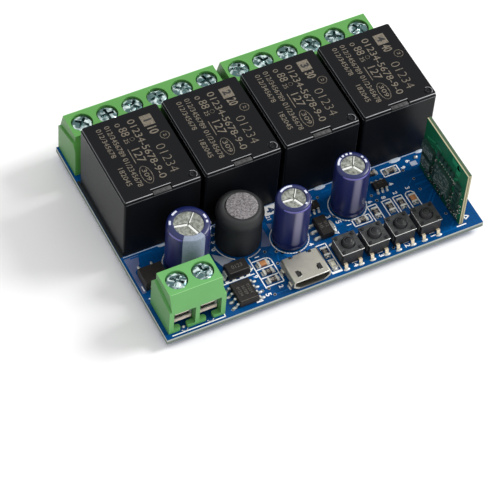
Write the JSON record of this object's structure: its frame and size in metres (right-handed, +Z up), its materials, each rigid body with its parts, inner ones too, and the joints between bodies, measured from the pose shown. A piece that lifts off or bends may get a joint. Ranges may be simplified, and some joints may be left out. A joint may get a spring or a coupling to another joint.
{
  "type": "smart relay module",
  "caption": "Bare circuit board with sealed relays in a row, screw terminals along the back edge, a buck supply, a USB socket, push switches and an upright radio board.",
  "frame": {"origin": "middle of the board's outline, at the height of the solder pin tips that the module stands on", "axes": "+X right along the front edge, +Y to the back where the output terminals are, +Z up"},
  "size_m": [0.0646, 0.0482, 0.0182],
  "materials": {
    "fr4_blue": "semi-gloss solder mask",
    "terminal_green": "moulded, satin",
    "contact_tin": "tin plated",
    "relay_black": "moulded, fine matt",
    "relay_base": "moulded, matt",
    "coil_copper": "enamelled wire",
    "yoke_iron": "zinc plated",
    "contact_brass": "stamped",
    "can_aluminium": "drawn, satin",
    "sleeve_violet": "shrunk film, gloss",
    "ferrite": "ground, speckled",
    "sleeve_black": "shrunk tube, matt",
    "usb_steel": "nickel plated",
    "insulator_black": "moulded",
    "switch_black": "moulded",
    "switch_cover": "black coated plate",
    "lead_tin": "tinned",
    "fr4_green": "semi-gloss solder mask",
    "chip_epoxy": "moulded epoxy",
    "ceramic": "fired, satin",
    "screw_nickel": "nickel plated",
    "cage_steel": "nickel plated"
  },
  "bodies": {
    "board_assembly": {"main_board": "fr4_blue", "left_output_housing": "terminal_green", "right_output_housing": "terminal_green", "power_input_housing": "terminal_green", "terminal_contacts": "contact_tin", "relay_cases": "relay_black", "relay_bases": "relay_base", "relay_coils": "coil_copper", "relay_frames": "yoke_iron", "relay_contacts": "contact_brass", "capacitor_cans": "can_aluminium", "capacitor_sleeves": "sleeve_violet", "coil_drum": "ferrite", "coil_sleeve": "sleeve_black", "usb_shell": "usb_steel", "usb_insulator": "insulator_black", "switch_bases": "switch_black", "switch_covers": "switch_cover", "switch_contacts": "lead_tin", "radio_board": "fr4_green", "radio_parts": "chip_epoxy", "chip_bodies": "chip_epoxy", "chip_leads": "lead_tin", "passives": "ceramic"},
    "output_screw_1": {"output_screw_1": "screw_nickel"},
    "output_cage_1": {"output_cage_1": "cage_steel"},
    "output_screw_2": {"output_screw_2": "screw_nickel"},
    "output_cage_2": {"output_cage_2": "cage_steel"},
    "output_screw_3": {"output_screw_3": "screw_nickel"},
    "output_cage_3": {"output_cage_3": "cage_steel"},
    "output_screw_4": {"output_screw_4": "screw_nickel"},
    "output_cage_4": {"output_cage_4": "cage_steel"},
    "output_screw_5": {"output_screw_5": "screw_nickel"},
    "output_cage_5": {"output_cage_5": "cage_steel"},
    "output_screw_6": {"output_screw_6": "screw_nickel"},
    "output_cage_6": {"output_cage_6": "cage_steel"},
    "output_screw_7": {"output_screw_7": "screw_nickel"},
    "output_cage_7": {"output_cage_7": "cage_steel"},
    "output_screw_8": {"output_screw_8": "screw_nickel"},
    "output_cage_8": {"output_cage_8": "cage_steel"},
    "output_screw_9": {"output_screw_9": "screw_nickel"},
    "output_cage_9": {"output_cage_9": "cage_steel"},
    "output_screw_10": {"output_screw_10": "screw_nickel"},
    "output_cage_10": {"output_cage_10": "cage_steel"},
    "output_screw_11": {"output_screw_11": "screw_nickel"},
    "output_cage_11": {"output_cage_11": "cage_steel"},
    "output_screw_12": {"output_screw_12": "screw_nickel"},
    "output_cage_12": {"output_cage_12": "cage_steel"},
    "power_screw_1": {"power_screw_1": "screw_nickel"},
    "power_cage_1": {"power_cage_1": "cage_steel"},
    "power_screw_2": {"power_screw_2": "screw_nickel"},
    "power_cage_2": {"power_cage_2": "cage_steel"},
    "armature_1": {"armature_1": "yoke_iron"},
    "armature_2": {"armature_2": "yoke_iron"},
    "armature_3": {"armature_3": "yoke_iron"},
    "armature_4": {"armature_4": "yoke_iron"},
    "button_1": {"button_1": "switch_black"},
    "button_2": {"button_2": "switch_black"},
    "button_3": {"button_3": "switch_black"},
    "button_4": {"button_4": "switch_black"}
  },
  "joints": [
    {"name": "output_screw_1_turn", "type": "hinge", "parent": "board_assembly", "child": "output_screw_1", "pos_m": [-0.02885, 0.0202, 0.0117], "axis": [0, 0, 1], "range_deg": [-648, 900]},
    {"name": "output_cage_1_rise", "type": "slide", "parent": "board_assembly", "child": "output_cage_1", "axis": [0, 0, 1], "range_m": [-0.00125, 0.0009]},
    {"name": "output_screw_2_turn", "type": "hinge", "parent": "board_assembly", "child": "output_screw_2", "pos_m": [-0.02377, 0.0202, 0.0117], "axis": [0, 0, 1], "range_deg": [-648, 900]},
    {"name": "output_cage_2_rise", "type": "slide", "parent": "board_assembly", "child": "output_cage_2", "axis": [0, 0, 1], "range_m": [-0.00125, 0.0009]},
    {"name": "output_screw_3_turn", "type": "hinge", "parent": "board_assembly", "child": "output_screw_3", "pos_m": [-0.01869, 0.0202, 0.0117], "axis": [0, 0, 1], "range_deg": [-648, 900]},
    {"name": "output_cage_3_rise", "type": "slide", "parent": "board_assembly", "child": "output_cage_3", "axis": [0, 0, 1], "range_m": [-0.00125, 0.0009]},
    {"name": "output_screw_4_turn", "type": "hinge", "parent": "board_assembly", "child": "output_screw_4", "pos_m": [-0.01361, 0.0202, 0.0117], "axis": [0, 0, 1], "range_deg": [-648, 900]},
    {"name": "output_cage_4_rise", "type": "slide", "parent": "board_assembly", "child": "output_cage_4", "axis": [0, 0, 1], "range_m": [-0.00125, 0.0009]},
    {"name": "output_screw_5_turn", "type": "hinge", "parent": "board_assembly", "child": "output_screw_5", "pos_m": [-0.00853, 0.0202, 0.0117], "axis": [0, 0, 1], "range_deg": [-648, 900]},
    {"name": "output_cage_5_rise", "type": "slide", "parent": "board_assembly", "child": "output_cage_5", "axis": [0, 0, 1], "range_m": [-0.00125, 0.0009]},
    {"name": "output_screw_6_turn", "type": "hinge", "parent": "board_assembly", "child": "output_screw_6", "pos_m": [-0.00345, 0.0202, 0.0117], "axis": [0, 0, 1], "range_deg": [-648, 900]},
    {"name": "output_cage_6_rise", "type": "slide", "parent": "board_assembly", "child": "output_cage_6", "axis": [0, 0, 1], "range_m": [-0.00125, 0.0009]},
    {"name": "output_screw_7_turn", "type": "hinge", "parent": "board_assembly", "child": "output_screw_7", "pos_m": [0.00325, 0.0202, 0.0117], "axis": [0, 0, 1], "range_deg": [-648, 900]},
    {"name": "output_cage_7_rise", "type": "slide", "parent": "board_assembly", "child": "output_cage_7", "axis": [0, 0, 1], "range_m": [-0.00125, 0.0009]},
    {"name": "output_screw_8_turn", "type": "hinge", "parent": "board_assembly", "child": "output_screw_8", "pos_m": [0.00833, 0.0202, 0.0117], "axis": [0, 0, 1], "range_deg": [-648, 900]},
    {"name": "output_cage_8_rise", "type": "slide", "parent": "board_assembly", "child": "output_cage_8", "axis": [0, 0, 1], "range_m": [-0.00125, 0.0009]},
    {"name": "output_screw_9_turn", "type": "hinge", "parent": "board_assembly", "child": "output_screw_9", "pos_m": [0.01341, 0.0202, 0.0117], "axis": [0, 0, 1], "range_deg": [-648, 900]},
    {"name": "output_cage_9_rise", "type": "slide", "parent": "board_assembly", "child": "output_cage_9", "axis": [0, 0, 1], "range_m": [-0.00125, 0.0009]},
    {"name": "output_screw_10_turn", "type": "hinge", "parent": "board_assembly", "child": "output_screw_10", "pos_m": [0.01849, 0.0202, 0.0117], "axis": [0, 0, 1], "range_deg": [-648, 900]},
    {"name": "output_cage_10_rise", "type": "slide", "parent": "board_assembly", "child": "output_cage_10", "axis": [0, 0, 1], "range_m": [-0.00125, 0.0009]},
    {"name": "output_screw_11_turn", "type": "hinge", "parent": "board_assembly", "child": "output_screw_11", "pos_m": [0.02357, 0.0202, 0.0117], "axis": [0, 0, 1], "range_deg": [-648, 900]},
    {"name": "output_cage_11_rise", "type": "slide", "parent": "board_assembly", "child": "output_cage_11", "axis": [0, 0, 1], "range_m": [-0.00125, 0.0009]},
    {"name": "output_screw_12_turn", "type": "hinge", "parent": "board_assembly", "child": "output_screw_12", "pos_m": [0.02865, 0.0202, 0.0117], "axis": [0, 0, 1], "range_deg": [-648, 900]},
    {"name": "output_cage_12_rise", "type": "slide", "parent": "board_assembly", "child": "output_cage_12", "axis": [0, 0, 1], "range_m": [-0.00125, 0.0009]},
    {"name": "power_screw_1_turn", "type": "hinge", "parent": "board_assembly", "child": "power_screw_1", "pos_m": [-0.02853, -0.01915, 0.0117], "axis": [0, 0, 1], "range_deg": [-648, 900]},
    {"name": "power_cage_1_rise", "type": "slide", "parent": "board_assembly", "child": "power_cage_1", "axis": [0, 0, 1], "range_m": [-0.00125, 0.0009]},
    {"name": "power_screw_2_turn", "type": "hinge", "parent": "board_assembly", "child": "power_screw_2", "pos_m": [-0.02345, -0.01915, 0.0117], "axis": [0, 0, 1], "range_deg": [-648, 900]},
    {"name": "power_cage_2_rise", "type": "slide", "parent": "board_assembly", "child": "power_cage_2", "axis": [0, 0, 1], "range_m": [-0.00125, 0.0009]},
    {"name": "armature_1_pull", "type": "hinge", "parent": "board_assembly", "child": "armature_1", "pos_m": [-0.02407, -0.00245, 0.01335], "axis": [-1, 0, 0], "range_deg": [0, 2.5], "stiffness_Nm_per_rad": 0.02, "springref_deg": -2.86},
    {"name": "armature_2_pull", "type": "hinge", "parent": "board_assembly", "child": "armature_2", "pos_m": [-0.00802, -0.00245, 0.01335], "axis": [-1, 0, 0], "range_deg": [0, 2.5], "stiffness_Nm_per_rad": 0.02, "springref_deg": -2.86},
    {"name": "armature_3_pull", "type": "hinge", "parent": "board_assembly", "child": "armature_3", "pos_m": [0.00802, -0.00245, 0.01335], "axis": [-1, 0, 0], "range_deg": [0, 2.5], "stiffness_Nm_per_rad": 0.02, "springref_deg": -2.86},
    {"name": "armature_4_pull", "type": "hinge", "parent": "board_assembly", "child": "armature_4", "pos_m": [0.02407, -0.00245, 0.01335], "axis": [-1, 0, 0], "range_deg": [0, 2.5], "stiffness_Nm_per_rad": 0.02, "springref_deg": -2.86},
    {"name": "button_1_press", "type": "slide", "parent": "board_assembly", "child": "button_1", "axis": [0, 0, -1], "range_m": [0, 0.00025], "stiffness_N_per_m": 800, "springref_m": -0.00005},
    {"name": "button_2_press", "type": "slide", "parent": "board_assembly", "child": "button_2", "axis": [0, 0, -1], "range_m": [0, 0.00025], "stiffness_N_per_m": 800, "springref_m": -0.00005},
    {"name": "button_3_press", "type": "slide", "parent": "board_assembly", "child": "button_3", "axis": [0, 0, -1], "range_m": [0, 0.00025], "stiffness_N_per_m": 800, "springref_m": -0.00005},
    {"name": "button_4_press", "type": "slide", "parent": "board_assembly", "child": "button_4", "axis": [0, 0, -1], "range_m": [0, 0.00025], "stiffness_N_per_m": 800, "springref_m": -0.00005}
  ],
  "couplings": [
    {"joint": "output_screw_1_turn", "follows": "output_cage_1_rise", "rad_per_m": -12566},
    {"joint": "output_screw_2_turn", "follows": "output_cage_2_rise", "rad_per_m": -12566},
    {"joint": "output_screw_3_turn", "follows": "output_cage_3_rise", "rad_per_m": -12566},
    {"joint": "output_screw_4_turn", "follows": "output_cage_4_rise", "rad_per_m": -12566},
    {"joint": "output_screw_5_turn", "follows": "output_cage_5_rise", "rad_per_m": -12566},
    {"joint": "output_screw_6_turn", "follows": "output_cage_6_rise", "rad_per_m": -12566},
    {"joint": "output_screw_7_turn", "follows": "output_cage_7_rise", "rad_per_m": -12566},
    {"joint": "output_screw_8_turn", "follows": "output_cage_8_rise", "rad_per_m": -12566},
    {"joint": "output_screw_9_turn", "follows": "output_cage_9_rise", "rad_per_m": -12566},
    {"joint": "output_screw_10_turn", "follows": "output_cage_10_rise", "rad_per_m": -12566},
    {"joint": "output_screw_11_turn", "follows": "output_cage_11_rise", "rad_per_m": -12566},
    {"joint": "output_screw_12_turn", "follows": "output_cage_12_rise", "rad_per_m": -12566},
    {"joint": "power_screw_1_turn", "follows": "power_cage_1_rise", "rad_per_m": -12566},
    {"joint": "power_screw_2_turn", "follows": "power_cage_2_rise", "rad_per_m": -12566}
  ]
}
